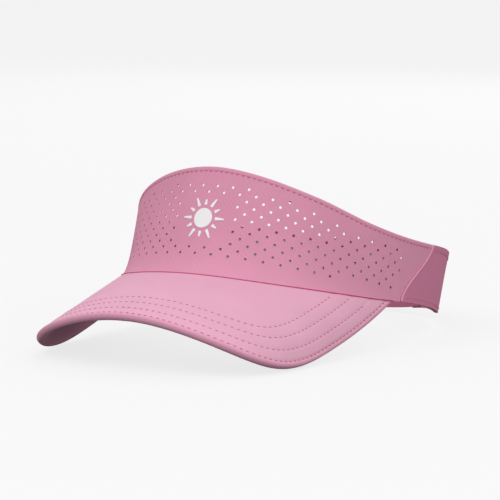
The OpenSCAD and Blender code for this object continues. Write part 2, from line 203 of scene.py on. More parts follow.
def outline(u):
    """The brim's outline in its flat pattern, for u from -1 to 1."""
    r = np.abs(u)
    t = np.maximum(r - FRONT_SHARE, 0) / (1 - FRONT_SHARE)
    a = np.minimum(r / FRONT_SHARE, 1) * np.pi / 2
    e = 2 / BRIM_SQUARENESS
    return np.stack([np.sign(u) * (BRIM_HALF_WIDTH * np.sin(a) ** e + (END_S - BRIM_HALF_WIDTH) * t**2),
                     BRIM_SIDE_REACH + BRIM_FRONT_REACH * np.maximum(np.cos(a), 0) ** e
                     - (BRIM_SIDE_REACH - END_Y) * t], -1)


def inset(u, margin):
    """The outline drawn in by an even margin."""
    e = 0.004
    t = outline(np.minimum(u + e, 1)) - outline(np.maximum(u - e, -1))
    t /= np.linalg.norm(t, axis=-1)[..., None]
    return outline(u) - np.stack([-t[..., 1], t[..., 0]], -1) * np.asarray(margin)[..., None]


def seam_point(u, seat):
    s = np.interp(BRIM_END * np.abs(u), _a, SEC_S)
    return np.stack([np.sign(u) * s, np.interp(s, SEC_S, SEC_Y) + seat], -1)


# --- Mesh helpers ---

def new_object(name, points, faces, material, uv=None, smooth_faces=True, sharp=None):
    mesh = bpy.data.meshes.new(name)
    mesh.from_pydata([tuple(p) for p in points], [], [tuple(int(i) for i in f) for f in faces])
    mesh.validate(clean_customdata=False)
    obj = bpy.data.objects.new(name, mesh)
    bpy.context.scene.collection.objects.link(obj)
    mesh.materials.append(material)
    mesh.polygons.foreach_set("use_smooth", [smooth_faces] * len(mesh.polygons))
    if uv is not None:
        layer = mesh.uv_layers.new(name="flat")
        loops = np.zeros(len(mesh.loops), int)
        mesh.loops.foreach_get("vertex_index", loops)
        layer.data.foreach_set("uv", np.asarray(uv, float)[loops].ravel())
    if sharp:
        mesh.set_sharp_from_angle(angle=math.radians(sharp))
    mesh.update()
    return obj


def joined(name, objects):
    """Several objects made into one."""
    bpy.ops.object.select_all(action="DESELECT")
    for o in objects:
        o.select_set(True)
    bpy.context.view_layer.objects.active = objects[0]
    if len(objects) > 1:
        bpy.ops.object.join()
    objects[0].name = name
    return objects[0]


def grid_faces(rows, cols, start=0, flip=False):
    i, j = np.meshgrid(np.arange(rows - 1), np.arange(cols - 1), indexing="ij")
    a = start + i * cols + j
    f = np.stack([a, a + 1, a + cols + 1, a + cols], -1).reshape(-1, 4)
    return f[:, ::-1] if flip else f


def shell(name, outer, inner, uv, material, sharp=50):
    """A closed sheet between two grids of points, in the resting frame and metres."""
    rows, cols = outer.shape[:2]
    n = rows * cols
    points = np.concatenate([outer.reshape(-1, 3), inner.reshape(-1, 3)])
    faces = [grid_faces(rows, cols), grid_faces(rows, cols, n, True)]
    ring = np.concatenate([np.arange(cols), np.arange(1, rows) * cols + cols - 1,
                           (rows - 1) * cols + np.arange(cols - 2, -1, -1),
                           np.arange(rows - 2, 0, -1) * cols])
    nxt = np.roll(ring, -1)
    faces.append(np.stack([nxt, ring, ring + n, nxt + n], -1))
    uvs = np.concatenate([uv.reshape(-1, 2)] * 2)
    return new_object(name, points, np.concatenate(faces), material, uvs, sharp=sharp)


def flat_sheet(name, boundary, holes, seeds, surface, d_out, d_in, material, sharp=40):
    """A closed sheet cut from a flat outline with holes, laid on surface(s, v, d)."""
    verts, edges = [], []
    for loop in [boundary] + holes:
        k = len(verts)
        verts += [Vector(p) for p in loop]
        edges += [(k + i, k + (i + 1) % len(loop)) for i in range(len(loop))]
    verts += [Vector(p) for p in seeds]
    out, _, tris, _, _, _ = delaunay_2d_cdt(verts, edges, [], 0, 1e-5)
    flat = np.array([tuple(p) for p in out])
    tris = np.array([t for t in tris if len(t) == 3])
    mid = flat[tris].mean(1)
    keep = inside(mid, boundary)
    if holes:
        centres = np.array([np.mean(h, 0) for h in holes])
        radii = np.array([np.linalg.norm(np.array(h) - c, axis=1).max() for h, c in zip(holes, centres)])
        for c, r in zip(centres, radii):
            keep &= ~(((mid - c) ** 2).sum(1) < (r * 0.99) ** 2)
    tris = tris[keep]
    a, b, c = flat[tris[:, 0]], flat[tris[:, 1]], flat[tris[:, 2]]
    turn = (b - a)[:, 0] * (c - a)[:, 1] - (b - a)[:, 1] * (c - a)[:, 0]
    tris[turn < 0] = tris[turn < 0][:, ::-1]
    used, tris = np.unique(tris, return_inverse=True)
    tris = tris.reshape(-1, 3)
    flat = flat[used]
    n = len(flat)
    points = np.concatenate([surface(flat[:, 0], flat[:, 1], d_out), surface(flat[:, 0], flat[:, 1], d_in)])
    half = np.concatenate([tris[:, [0, 1]], tris[:, [1, 2]], tris[:, [2, 0]]])
    seen = set(map(tuple, half))
    rim = np.array([e for e in half if (e[1], e[0]) not in seen])
    faces = [tuple(t) for t in tris] + [tuple(t[::-1] + n) for t in tris]
    faces += [(e[1], e[0], e[0] + n, e[1] + n) for e in rim]
    return new_object(name, points, faces, material, np.concatenate([flat, flat]) * MM, sharp=sharp)


def inside(p, loop):
    loop = np.array(loop)
    nxt = np.roll(loop, -1, axis=0)
    hit = np.zeros(len(p), bool)
    for (x0, y0), (x1, y1) in zip(loop, nxt):
        cross = (y0 > p[:, 1]) != (y1 > p[:, 1])
        with np.errstate(divide="ignore", invalid="ignore"):
            at = x0 + (p[:, 1] - y0) / (y1 - y0) * (x1 - x0)
        hit ^= cross & (p[:, 0] < at)
    return hit


def stitches(name, path, up, material, length=2.6, gap=1.1, width=0.42, rise=0.18):
    """A row of sewn stitches along a path of points in metres; up holds the outward directions."""
    step = np.r_[0, np.cumsum(np.linalg.norm(np.diff(path, axis=0), axis=1))] / MM
    count = max(int(step[-1] // (length + gap)), 1)
    points, faces = [], []
    rings, sides = 7, 8
    for k in range(count):
        t = np.linspace(0, 1, rings)
        along = k * (length + gap) + gap / 2 + t * length
        mid = np.stack([np.interp(along, step, path[:, i]) for i in range(3)], -1)
        n = np.stack([np.interp(along, step, up[:, i]) for i in range(3)], -1)
        n /= np.linalg.norm(n, axis=1)[:, None]
        d = np.gradient(mid, axis=0)
        d /= np.linalg.norm(d, axis=1)[:, None]
        side = np.cross(d, n)
        bow = np.sin(np.pi * t)
        half = width / 2 * np.sqrt(np.clip(1 - (2 * t - 1) ** 4, 0.06, 1)) * MM
        centre = mid + n * (((bow - 0.55) * rise * 2) * MM)[:, None]
        base = len(points)
        for j in range(sides):
            w = 2 * math.pi * j / sides
            points += list(centre + (side * math.cos(w) + n * math.sin(w) * 0.7) * half[:, None])
        for j in range(sides):
            q, r = base + j * rings, base + (j + 1) % sides * rings
            faces += [(q + i, q + i + 1, r + i + 1, r + i) for i in range(rings - 1)]
        faces.append([base + j * rings for j in range(sides)])
        faces.append([base + j * rings + rings - 1 for j in reversed(range(sides))])
    return new_object(name, points, faces, material)


# --- Materials ---

def srgb(r, g, b):
    return tuple(((c / 255 + 0.055) / 1.055) ** 2.4 if c > 10 else c / 3295 for c in (r, g, b)) + (1.0,)


class Nodes:
    """Short calls for building a material's nodes."""

    def __init__(self, name, rough=0.8, sheen=0.0, tint=(1, 1, 1, 1), specular=0.3):
        self.material = bpy.data.materials.new(name)
        self.material.use_nodes = True
        self.tree = self.material.node_tree
        self.shader = self.tree.nodes["Principled BSDF"]
        self.shader.inputs["Roughness"].default_value = rough
        self.shader.inputs["Sheen Weight"].default_value = sheen
        self.shader.inputs["Sheen Tint"].default_value = tint
        self.shader.inputs["Sheen Roughness"].default_value = 0.4
        self.shader.inputs["Specular IOR Level"].default_value = specular

    def add(self, kind, **values):
        node = self.tree.nodes.new("ShaderNode" + kind)
        for key, value in values.items():
            setattr(node, key, value)
        return node

    def link(self, a, b):
        self.tree.links.new(a, b)

    def math(self, operation, a, b=None):
        node = self.add("Math", operation=operation)
        for socket, value in zip(node.inputs, (a, b)):
            if value is None:
                continue
            if isinstance(value, (int, float)):
                socket.default_value = value
            else:
                self.link(value, socket)
        return node.outputs[0]

    def flat(self, scale):
        """The piece's flat pattern in threads: scale is threads per metre across and along."""
        uv = self.add("UVMap", uv_map="flat")
        mapping = self.add("Mapping")
        mapping.inputs["Scale"].default_value = (scale[0], scale[1], 1)
        self.link(uv.outputs[0], mapping.inputs[0])
        return mapping.outputs[0]

    def place(self, scale):
        coords = self.add("TexCoord")
        mapping = self.add("Mapping")
        mapping.inputs["Scale"].default_value = (scale, scale, scale)
        self.link(coords.outputs["Object"], mapping.inputs[0])
        return mapping.outputs[0]

    def noise(self, vector, scale, detail=3.0, rough=0.55):
        node = self.add("TexNoise")
        node.inputs["Scale"].default_value = scale
        node.inputs["Detail"].default_value = detail
        node.inputs["Roughness"].default_value = rough
        self.link(vector, node.inputs["Vector"])
        return node.outputs["Fac"]

    def wave(self, vector, scale, direction, profile="SIN", distortion=0.0):
        node = self.add("TexWave", bands_direction=direction, wave_profile=profile)
        node.inputs["Scale"].default_value = scale
        node.inputs["Distortion"].default_value = distortion
        self.link(vector, node.inputs["Vector"])
        return node.outputs["Fac"]

    def bump(self, height, strength, distance, onto=None):
        node = self.add("Bump")
        node.inputs["Strength"].default_value = strength
        node.inputs["Distance"].default_value = distance
        self.link(height, node.inputs["Height"])
        if onto is not None:
            self.link(onto, node.inputs["Normal"])
        return node.outputs[0]

    def ramp(self, fac, stops):
        node = self.add("ValToRGB")
        ramp = node.color_ramp
        while len(ramp.elements) < len(stops):
            ramp.elements.new(0.5)
        for element, (at, colour) in zip(ramp.elements, stops):
            element.position = at
            element.color = colour
        self.link(fac, node.inputs[0])
        return node.outputs[0]

    def finish(self, colour=None, normal=None, rough=None):
        for source, name in ((colour, "Base Color"), (normal, "Normal"), (rough, "Roughness")):
            if source is not None:
                self.link(source, self.shader.inputs[name])
        return self.material


def shade(colour, k):
    return tuple(min(c * k, 1) for c in colour[:3]) + (1.0,)


def woven(name, colour, threads=1500.0, bump=0.35, sheen=0.25, rough=0.72, mottle=0.06):
    """A plain weave: threads over and under in both directions, with soft uneven dyeing."""
    m = Nodes(name, rough=rough, sheen=sheen, tint=shade(colour, 1.5), specular=0.25)
    flat = m.flat((threads, threads))
    warp = m.wave(flat, 0.16, "X")
    weft = m.wave(flat, 0.16, "Y")
    cloth = m.math("MULTIPLY", warp, weft)
    fuzz = m.noise(m.place(1.0), 900.0, 2.0)
    cloud = m.noise(m.place(1.0), 45.0, 4.0)
    tone = m.math("ADD", m.math("MULTIPLY", cloud, 0.7), m.math("MULTIPLY", cloth, 0.3))
    colours = m.ramp(tone, [(0.2, shade(colour, 1 - mottle)), (0.8, shade(colour, 1 + mottle))])
    normal = m.bump(cloth, bump, 0.00012)
    normal = m.bump(fuzz, bump * 0.5, 0.00008, normal)
    rough_map = m.math("ADD", m.math("MULTIPLY", fuzz, 0.16), rough - 0.08)
    return m.finish(colours, normal, rough_map)


def knit(name, colour, bump=0.4):
    """A fine warp knit: short slanting loops in columns."""
    m = Nodes(name, rough=0.78, sheen=0.3, tint=shade(colour, 1.5), specular=0.22)
    flat = m.flat((1300.0, 1300.0))
    loops = m.wave(flat, 0.17, "DIAGONAL", distortion=0.6)
    columns = m.wave(flat, 0.2, "X")
    cloth = m.math("MULTIPLY", loops, columns)
    cloud = m.noise(m.place(1.0), 38.0, 4.0)
    fuzz = m.noise(m.place(1.0), 1100.0, 2.0)
    tone = m.math("ADD", m.math("MULTIPLY", cloud, 0.75), m.math("MULTIPLY", cloth, 0.25))
    colours = m.ramp(tone, [(0.2, shade(colour, 0.93)), (0.8, shade(colour, 1.06))])
    normal = m.bump(cloth, bump, 0.00012)
    normal = m.bump(fuzz, 0.2, 0.0001, normal)
    return m.finish(colours, normal, m.math("ADD", m.math("MULTIPLY", fuzz, 0.15), 0.7))


def towelling(name, colour):
    m = Nodes(name, rough=0.95, sheen=0.6, tint=shade(colour, 1.4), specular=0.1)
    cells = m.add("TexVoronoi", feature="F1")
    cells.inputs["Scale"].default_value = 900.0
    m.link(m.place(1.0), cells.inputs["Vector"])
    cloud = m.noise(m.place(1.0), 60.0, 3.0)
    tone = m.math("ADD", m.math("MULTIPLY", cloud, 0.5), m.math("MULTIPLY", cells.outputs["Distance"], 0.6))
    colours = m.ramp(tone, [(0.15, shade(colour, 1.05)), (0.9, shade(colour, 0.8))])
    return m.finish(colours, m.bump(cells.outputs["Distance"], 0.8, 0.0004))


def plastic(name, colour, rough=0.5, grain=700.0):
    m = Nodes(name, rough=rough, specular=0.4)
    fine = m.noise(m.place(1.0), grain, 2.0)
    broad = m.noise(m.place(1.0), 30.0, 3.0)
    colours = m.ramp(broad, [(0.3, shade(colour, 0.97)), (0.7, shade(colour, 1.02))])
    return m.finish(colours, m.bump(fine, 0.15, 0.00006),
                    m.math("ADD", m.math("MULTIPLY", fine, 0.2), rough - 0.1))


def sewing_thread(name, colour):
    m = Nodes(name, rough=0.55, sheen=0.3, tint=shade(colour, 1.4), specular=0.4)
    twist = m.wave(m.place(1.0), 1500.0, "DIAGONAL")
    colours = m.ramp(twist, [(0.0, shade(colour, 0.86)), (1.0, shade(colour, 1.1))])
    return m.finish(colours, m.bump(twist, 0.4, 0.0001))


# PINK is lighter than CROWN_PINK: painted light. The brim's upward face gets a lighter pink than the same
# fabric on the crown because more light falls on it.
PINK = srgb(226, 168, 191)
CROWN_PINK = srgb(221, 150, 177)
# The next pink is darker than CROWN_PINK: painted shade. The rear panels get a darker pink because they face
# away from the light.
REAR_SHADED_PINK = srgb(206, 128, 158)
crown_cloth = knit("crown knit", CROWN_PINK)
# The brim cloth's lighter pink is painted light from above.
brim_cloth = woven("brim cloth", PINK)
binding_cloth = woven("binding cloth", srgb(222, 158, 183))
# The rear cloth's darker pink is painted shade.
rear_cloth = woven("rear cloth", REAR_SHADED_PINK, mottle=0.05)
lining_cloth = knit("lining knit", srgb(208, 130, 158))
strap_cloth = woven("strap webbing", srgb(200, 116, 148), threads=900.0, bump=0.7)
terry = towelling("sweatband towelling", srgb(232, 176, 196))
loop_pile = towelling("loop pile", srgb(214, 140, 168))
hook_plastic = plastic("hook plastic", srgb(214, 146, 170), 0.45)
film = plastic("emblem film", srgb(240, 240, 241), 0.42, 350.0)
thread = sewing_thread("pink thread", srgb(196, 108, 140))
dark_thread = sewing_thread("seam thread", srgb(196, 74, 118))
piping_cloth = woven("piping cloth", srgb(228, 160, 184), threads=2000.0)
foam = towelling("foam", srgb(238, 236, 230))
board = plastic("board", srgb(236, 236, 232), 0.5)
tape_cloth = towelling("seam tape cloth", srgb(198, 116, 146))


# --- Crown ---

PITCH_ACROSS, PITCH_UP = 9.32, 6.94
ROW_ZERO_HEIGHT, ROW_SAG = 39.95, 0.00063
HOLE_R = 0.78
# How far each row of perforations reaches from the centre front, in half pitches
ROW_REACH = {3: 5, 2: 10, 1: 13, 0: 16, -1: 25, -2: 26, -3: 26, -4: 26, -5: 26, -6: 24, -7: 25, -8: 16}
EMBLEM_CLEAR = 3


def crown_seam_path(side, steps, back=0.0):
    """The crown's end at a side seam, from the lower edge to the upper edge, in (s, v)."""
    w = np.linspace(0, 1, steps)
    a = seam_angle(w)
    return np.stack([side * (arc_at(a) - back), tall(a) * w], -1)


# Depths below the upper edge where the mesh is fine enough for the hem and its stitching
HEM_LEVELS = np.array([4.2, 3.7, 3.3, 3.0, 2.75, 2.5, 2.25, 2.0, 1.6, 1.0, 0.6, 0.3])


def perforations():
    holes = []
    for row, reach in ROW_REACH.items():
        for k in range(-reach, reach + 1):
            if (k - row) % 2:
                continue
            if abs(k) <= EMBLEM_CLEAR and -6 <= row <= 1:
                continue
            s = k * PITCH_ACROSS / 2
            v = ROW_ZERO_HEIGHT + row * PITCH_UP / 2 - ROW_SAG * s * s
            t = np.linspace(0, 2 * np.pi, 13)[:-1]
            holes.append([(s + HOLE_R * math.cos(x), v + HOLE_R * math.sin(x)) for x in t])
    return holes


def hem_profile(v, top):
    """The fabric stands out a little over the turned hem and dips at its stitching."""
    down = top - v
    fat = 0.22 * np.clip(1 - (down / 3.4) ** 6, 0, 1)
    dip = 0.24 * np.exp(-((down - 2.5) / 0.45) ** 2)
    round_over = 0.5 * np.clip(1 - down / 0.8, 0, 1) ** 2
    return fat - dip - round_over


def draped(s, v):
    """Slight unevenness of the fabric, in millimetres."""
    return (0.16 * np.sin(s / 17.0 + 0.6) * np.sin(v / 13.0 + s / 40.0)
            + 0.10 * np.sin(s / 7.3 + 1.0) * np.exp(-v / 7.0))


def crown_fabric(s, v, d):
    a = angle_at(s)
    v = np.asarray(v, float)
    return placed(band_point(a, v, d + hem_profile(v, tall(a)) + draped(np.asarray(s, float), v)))


def make_crown():
    end = crown_seam_path(1, 40, back=1.7)
    left = crown_seam_path(-1, 40, back=1.7)
    top_s = np.linspace(end[-1, 0], left[-1, 0], 300)[1:-1]
    low_s = np.linspace(left[0, 0], end[0, 0], 260)[1:-1]
    boundary = ([tuple(p) for p in end] + [(s, float(tall(angle_at(s)))) for s in top_s]
                + [tuple(p) for p in left[::-1]] + [(s, 0.0) for s in low_s])
    holes = perforations()
    centres = np.array([np.mean(h, 0) for h in holes])
    seeds = []
    for s in np.arange(-145, 145.1, 1.6):
        top = float(tall(angle_at(s)))
        for v in np.r_[np.arange(0.8, 12, 0.9), np.arange(12, top - 5, 1.7), top - HEM_LEVELS]:
            seeds.append((s, v))
    seeds = np.array(seeds)
    seeds = seeds[inside(seeds, boundary)]
    near = np.full(len(seeds), 9.0)
    for c in centres:
        near = np.minimum(near, np.linalg.norm(seeds - c, axis=1))
    seeds = seeds[near > HOLE_R + 0.35]
    ends = np.concatenate([end, left])
    gap = np.min(np.linalg.norm(seeds[:, None] - ends[None], axis=2), axis=1)
    seeds = seeds[gap > 0.5]
    crown = flat_sheet("crown_fabric", boundary, holes, seeds, crown_fabric, 0.0, -SHOWN_CROWN_T, crown_cloth)
    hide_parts("crown_panel")
    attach(crown, "front")


def band_strip(name, a0, a1, low, high, d_out, d_in, material, steps=200, rows=16, profile=None):
    """A tape along the inside or outside of the band; low and high give its edges at an angle."""
    a = np.linspace(a0, a1, steps)[:, None]
    w = np.linspace(0, 1, rows)[None, :]
    v = low(a) + (high(a) - low(a)) * w
    bulge = profile(a, w) if profile else 0.0
    outer = placed(band_point(a, v, d_out))
    inner = placed(band_point(a, v, d_in - bulge))
    uv = np.stack([np.broadcast_to(arc_at(a), v.shape), v], -1) * MM
    return shell(name, outer, inner, uv, material)


def make_hem():
    end = SEAM_HIGH - 4
    hem = band_strip("turned_hem", -end, end, lambda a: tall(a) - 8.1, lambda a: tall(a) - 0.6,
                     -CROWN_T - 0.1, -CROWN_T - 0.75, crown_cloth,
                     profile=lambda a, w: 0.25 * np.sin(np.pi * w) ** 0.5)
    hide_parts("top_hem")
    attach(hem, "front")
    s = np.linspace(arc_at(-(SEAM_HIGH - 1)), arc_at(SEAM_HIGH - 1), 700)
    v = tall(angle_at(s)) - HEM_STITCH_DOWN
    path = crown_fabric(s, v, 0.10)
    up = crown_fabric(s, v, 1.1) - path
    row = stitches("hem_stitches", path, up, thread, length=2.3, gap=0.9)
    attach(row, "front")


def make_sweatband():
    end = SEAM_LOW - 3
    rng = np.random.default_rng(7)
    tufts = rng.uniform(-0.06, 0.06, (420, 60))

    def pile(a, w):
        plump = 0.9 * (1 - (2 * w - 1) ** 6)
        return plump + tufts

    band = band_strip("sweatband", -end, end, lambda a: 0.3 + a * 0, lambda a: 30 + a * 0,
                      -3.05, -3.6, terry, steps=420, rows=60, profile=pile)
    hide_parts("sweatband_cover")
    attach(band, "front")
    a = np.linspace(-end + 1, end - 1, 600)
    path = placed(band_point(a, 27.6, -4.5))
    up = turned(band_point(a, 27.6, -5.5) - band_point(a, 27.6, -4.5))
    row = stitches("sweatband_stitches", path, up, thread, length=2.6, gap=1.2)
    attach(row, "front")


def make_piping():
    for side, name in ((1, "left"), (-1, "right")):
        w = np.linspace(0, 1, 60)
        a = seam_angle(w)
        v = tall(a) * w
        s = arc_at(a) - 0.8
        ring = np.linspace(0, 2 * np.pi, 15)[:-1]
        points, faces = [], []
        swell = 1 + 0.12 * np.exp(-((w - 0.97) / 0.03) ** 2)
        for k in range(len(w)):
            off = 0.72 * swell[k] * np.cos(ring)
            out = 0.30 + 0.55 * swell[k] * np.sin(ring)
            out = np.maximum(out, -0.25)
            p = band_point(angle_at(s[k] + off), v[k], out)
            p[:, 0] *= side
            points += list(placed(p))
        n = len(ring)
        for k in range(len(w) - 1):
            for j in range(n):
                q = [k * n + j, (k + 1) * n + j, (k + 1) * n + (j + 1) % n, k * n + (j + 1) % n]
                faces.append(q if side > 0 else q[::-1])
        faces.append(list(range(n)) if side > 0 else list(range(n))[::-1])
        last = [(len(w) - 1) * n + j for j in range(n)]
        faces.append(last[::-1] if side > 0 else last)
        uv = np.stack([np.tile(ring, len(w)) * 0.7, np.repeat(v, n)], -1) * MM
        obj = new_object(name + "_seam_piping", points, faces, piping_cloth, uv)
        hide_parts(name + "_side_piping")
        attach(obj, "front")


def make_emblem():
    """A plain sun: a disc and twelve rays, as a thin film on the crown."""
    ray_root, long_ray, short_ray = 7.3, 12.5, 10.5

    shapes = [[(5.5 * math.cos(t), 5.5 * math.sin(t)) for t in np.linspace(0, 2 * np.pi, 73)[:-1]]]
    for i in range(12):
        t = i * math.pi / 6
        reach = long_ray if i % 2 == 0 else short_ray
        tip = [(reach - 0.45 + 0.45 * math.cos(x), 0.45 * math.sin(x)) for x in np.linspace(-1.4, 1.4, 9)]
        root = [(ray_root + 0.3 - 0.3 * math.cos(x), -0.9 * math.sin(x)) for x in np.linspace(-1.5, 1.5, 7)]
        shapes.append([(x * math.cos(t) - y * math.sin(t), x * math.sin(t) + y * math.cos(t))
                       for x, y in tip + root])
    pieces = []
    for k, loop in enumerate(shapes):
        loop = np.array(loop)
        area = 0.5 * np.sum(loop[:, 0] * np.roll(loop[:, 1], -1) - np.roll(loop[:, 0], -1) * loop[:, 1])
        if area < 0:
            loop = loop[::-1]
        boundary = [(x, y + SUN_HEIGHT) for x, y in loop]
        grid = [(x, y) for x in np.arange(-13, 13.1, 0.7)
                for y in np.arange(SUN_HEIGHT - 13, SUN_HEIGHT + 13.1, 0.7)]
        grid = np.array(grid)
        grid = grid[inside(grid, boundary)]
        if len(grid):
            gap = np.min(np.linalg.norm(grid[:, None] - np.array(boundary)[None], axis=2), axis=1)
            grid = grid[gap > 0.25]
        pieces.append(flat_sheet("sun_part_%d" % k, boundary, [], grid, crown_fabric, 0.26, 0.02, film))
    sun = joined("sun_film", pieces)
    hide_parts("sun_emblem")
    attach(sun, "front")


# --- Brim ---

STITCH_ROWS = (26.3, 18.6, 10.4)
EDGE_ROW = 3.4


def brim_u(n, share):
    return np.sin(np.linspace(-np.pi / 2, np.pi / 2, n)) * share


def brim_dip(margin):
    """How far the top cover is drawn in at a distance from the edge, by the stitch rows and the rim."""
    dip = sum(0.22 * np.exp(-((margin - m) / 0.8) ** 2) for m in STITCH_ROWS)
    dip = dip + 0.3 * np.exp(-((margin - EDGE_ROW) / 0.7) ** 2)
    return dip - 0.10 * np.exp(-((margin - 14.5) / 3.0) ** 2) - 0.10 * np.exp(-((margin - 22.5) / 3.0) ** 2)


def brim_grid(d, share, rows, edge, seat, dips):
    u = brim_u(301, share)
    p1 = inset(u, np.full(u.shape, edge))
    p0 = seam_point(u, seat)
    w = np.linspace(0, 1, rows)[None, :, None] ** 0.85
    flat = p0[:, None] + (p1 - p0)[:, None] * w
    depth = d
    if dips:
        depth = d - brim_dip(edge_distance(flat))
    return placed(brim_point(flat[..., 0], flat[..., 1], depth)), flat * MM


_rim = outline(np.linspace(-1, 1, 1201))


def edge_distance(flat):
    q = flat.reshape(-1, 2)
    best = np.full(len(q), 1e9)
    for k in range(0, len(_rim), 40):
        part = _rim[k:k + 41]
        best = np.minimum(best, np.min(np.linalg.norm(q[:, None] - part[None], axis=2), axis=1))
    return best.reshape(flat.shape[:-1])


def make_brim():
    share = 0.972
    top, uv = brim_grid(0.0, share, 70, EDGE_ROW - 0.9, 0.5, True)
    under, _ = brim_grid(-COVER_T, share, 70, EDGE_ROW - 0.9, 0.5, False)
    cover = shell("brim_top", top, under, uv, brim_cloth, sharp=60)
    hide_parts("brim_top_cover")
    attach(cover, "front")
    low_top, uv2 = brim_grid(-STACK_T + COVER_T, share, 50, EDGE_ROW - 0.9, 0.5, False)
    low, _ = brim_grid(-STACK_T, share, 50, EDGE_ROW - 0.9, 0.5, False)
    lower = shell("brim_underside", low_top, low, uv2, brim_cloth, sharp=60)
    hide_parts("brim_bottom_cover")
    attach(lower, "front")
    make_rim()
    for k, margin in enumerate(STITCH_ROWS + (EDGE_ROW,)):
        u = np.linspace(-0.999, 0.999, 1600)
        flat = inset(u, np.full(u.shape, margin))
        ahead = flat[:, 1] - np.interp(np.abs(flat[:, 0]), SEC_S, SEC_Y)
        keep = ahead > 1.2
        keep &= np.abs(u) < (0.9 if margin > 5 else 0.97)
        flat = flat[keep]
        depth = 0.02 - brim_dip(np.full(len(flat), margin))
        path = placed(brim_point(flat[:, 0], flat[:, 1], depth))
        up = turned(brim_point(flat[:, 0], flat[:, 1], depth + 1) - brim_point(flat[:, 0], flat[:, 1], depth))
        name = "brim_stitches_%d" % (k + 1) if margin > 5 else "rim_stitches"
        row = stitches(name, path, up, thread if margin > 5 else dark_thread, length=2.5, gap=1.1)
        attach(row, "front")


def make_seam():
    """The saturated line of the seam between crown and brim: the edge of the folded-in fabric."""
    a = np.linspace(-BRIM_END + 0.5, BRIM_END - 0.5, 240)
    ring = np.linspace(0, 2 * np.pi, 9)[:-1]
    rings = np.stack([placed(band_point(a, -0.1 + 0.34 * math.sin(t), 0.2 + 0.42 * math.cos(t)))
                      for t in ring], 1)
    n, m = rings.shape[:2]
    faces = [[k * m + j, k * m + (j + 1) % m, (k + 1) * m + (j + 1) % m, (k + 1) * m + j]
             for k in range(n - 1) for j in range(m)]
    faces += [list(range(m))[::-1], [(n - 1) * m + j for j in range(m)]]
    line = new_object("brim_seam_line", rings.reshape(-1, 3), faces, dark_thread)
    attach(line, "front")


def make_rim():
    """The rolled binding around the brim's edge."""
    u = brim_u(420, 0.985)
    turn = np.linspace(0, 2 * np.pi, 25)[:-1]
    half_t, half_w = STACK_T / 2 + 0.12, 1.75
    rings = []
    for t in turn:
        out = half_w * (np.sign(math.cos(t)) * abs(math.cos(t)) ** 0.8)
        margin = half_w - out
        p = inset(u, np.full(u.shape, margin))
        ripple = 0.05 * np.sin(u * 260.0) * max(math.cos(t), 0)
        d = -STACK_T / 2 + half_t * math.sin(t) + ripple
        rings.append(placed(brim_point(p[:, 0], p[:, 1], d)))
    rings = np.stack(rings, 1)
    n, m = rings.shape[:2]
    points = rings.reshape(-1, 3)
    faces = []
    for k in range(n - 1):
        for j in range(m):
            faces.append([k * m + j, k * m + (j + 1) % m, (k + 1) * m + (j + 1) % m, (k + 1) * m + j])
    faces.append(list(range(m))[::-1])
    faces.append([(n - 1) * m + j for j in range(m)])
    length = np.r_[0, np.cumsum(np.linalg.norm(np.diff(rings[:, 0], axis=0), axis=1))]
    uv = np.stack([np.repeat(length, m), np.tile(turn * 1.7 * MM, n)], -1)
    rim = new_object("brim_rim", points, faces, binding_cloth, uv)
    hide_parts("brim_binding")
    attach(rim, "front")


# --- Rear panels and straps ---

STRAP_MID = float(low_z(PANEL_END) + tall(PANEL_END) / 2)
STRAP_LOW = STRAP_MID - STRAP_W / 2


def panel_grid(side, d, end_angle, back, steps, rows, dents):
    w = np.linspace(0, 1, rows)[None, :]
    t = np.linspace(0, 1, steps)[:, None]
    start = seam_angle(w) + back
    a = start + (end_angle - start) * t
    v = tall(a) * w
    down = tall(a) * (1 - w)
    depth = d
    if dents:
        depth = d + 0.15 * np.clip(1 - (down / 3.6) ** 6, 0, 1) - 0.2 * np.exp(-((down - 3.4) / 0.4) ** 2)
        depth = depth + 0.15 * np.sin(t * 11.0) * np.sin(w * np.pi) * np.sin(np.pi * t)
    p = band_point(a, v, depth)
    narrow = ease(np.clip((a - TAPER_START) / (PANEL_END - TAPER_START), 0, 1))
    p[..., 2] += (STRAP_LOW + STRAP_W * w - p[..., 2]) * narrow
    p[..., 0] *= side
    uv = np.stack([np.broadcast_to(arc_at(a), v.shape), v], -1) * MM
    return placed(p), uv


def wing_shell(name, side, d_out, d_in, end_angle, back, material, dents):
    outer, uv = panel_grid(side, d_out, end_angle, back, 120, 44, dents)
    inner, _ = panel_grid(side, d_in, end_angle, back, 120, 44, dents)
    if side < 0:
        outer, inner, uv = outer[::-1], inner[::-1], uv[::-1]
    return shell(name, outer, inner, uv, material)


def blend_at_side(obj):
    """The object's placement is baked into its mesh."""
    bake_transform(obj)


def make_wings():
    for side, name in ((1, "left"), (-1, "right")):
        panel = wing_shell(name + "_rear_fabric", side, 0.0, -1.2, PANEL_END, 0.02, rear_cloth, True)
        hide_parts(name + "_rear_panel")
        blend_at_side(panel)
        lining = wing_shell(name + "_lining", side, -1.3, -2.0, PANEL_END - 1, 1.0, lining_cloth, False)
        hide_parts(name + "_rear_lining")
        blend_at_side(lining)
        for edge in ("upper", "lower"):
            a = np.linspace(SEAM_HIGH + 1 if edge == "upper" else SEAM_LOW + 1.5, PANEL_END - 1, 500)
            w = 1 - CLOTH_EDGE_STITCH / tall(a) if edge == "upper" else 2.6 / tall(a)
            narrow = ease(np.clip((a - TAPER_START) / (PANEL_END - TAPER_START), 0, 1))
            rows = []
            for d in (0.02, 1.02):
                p = band_point(a, tall(a) * w, d)
                p[:, 2] += (STRAP_LOW + STRAP_W * w - p[:, 2]) * narrow
                p[:, 0] *= side
                rows.append(placed(p))
            row = stitches("%s_%s_edge_stitches" % (name, edge), rows[0], rows[1] - rows[0], thread)
            blend_at_side(row)


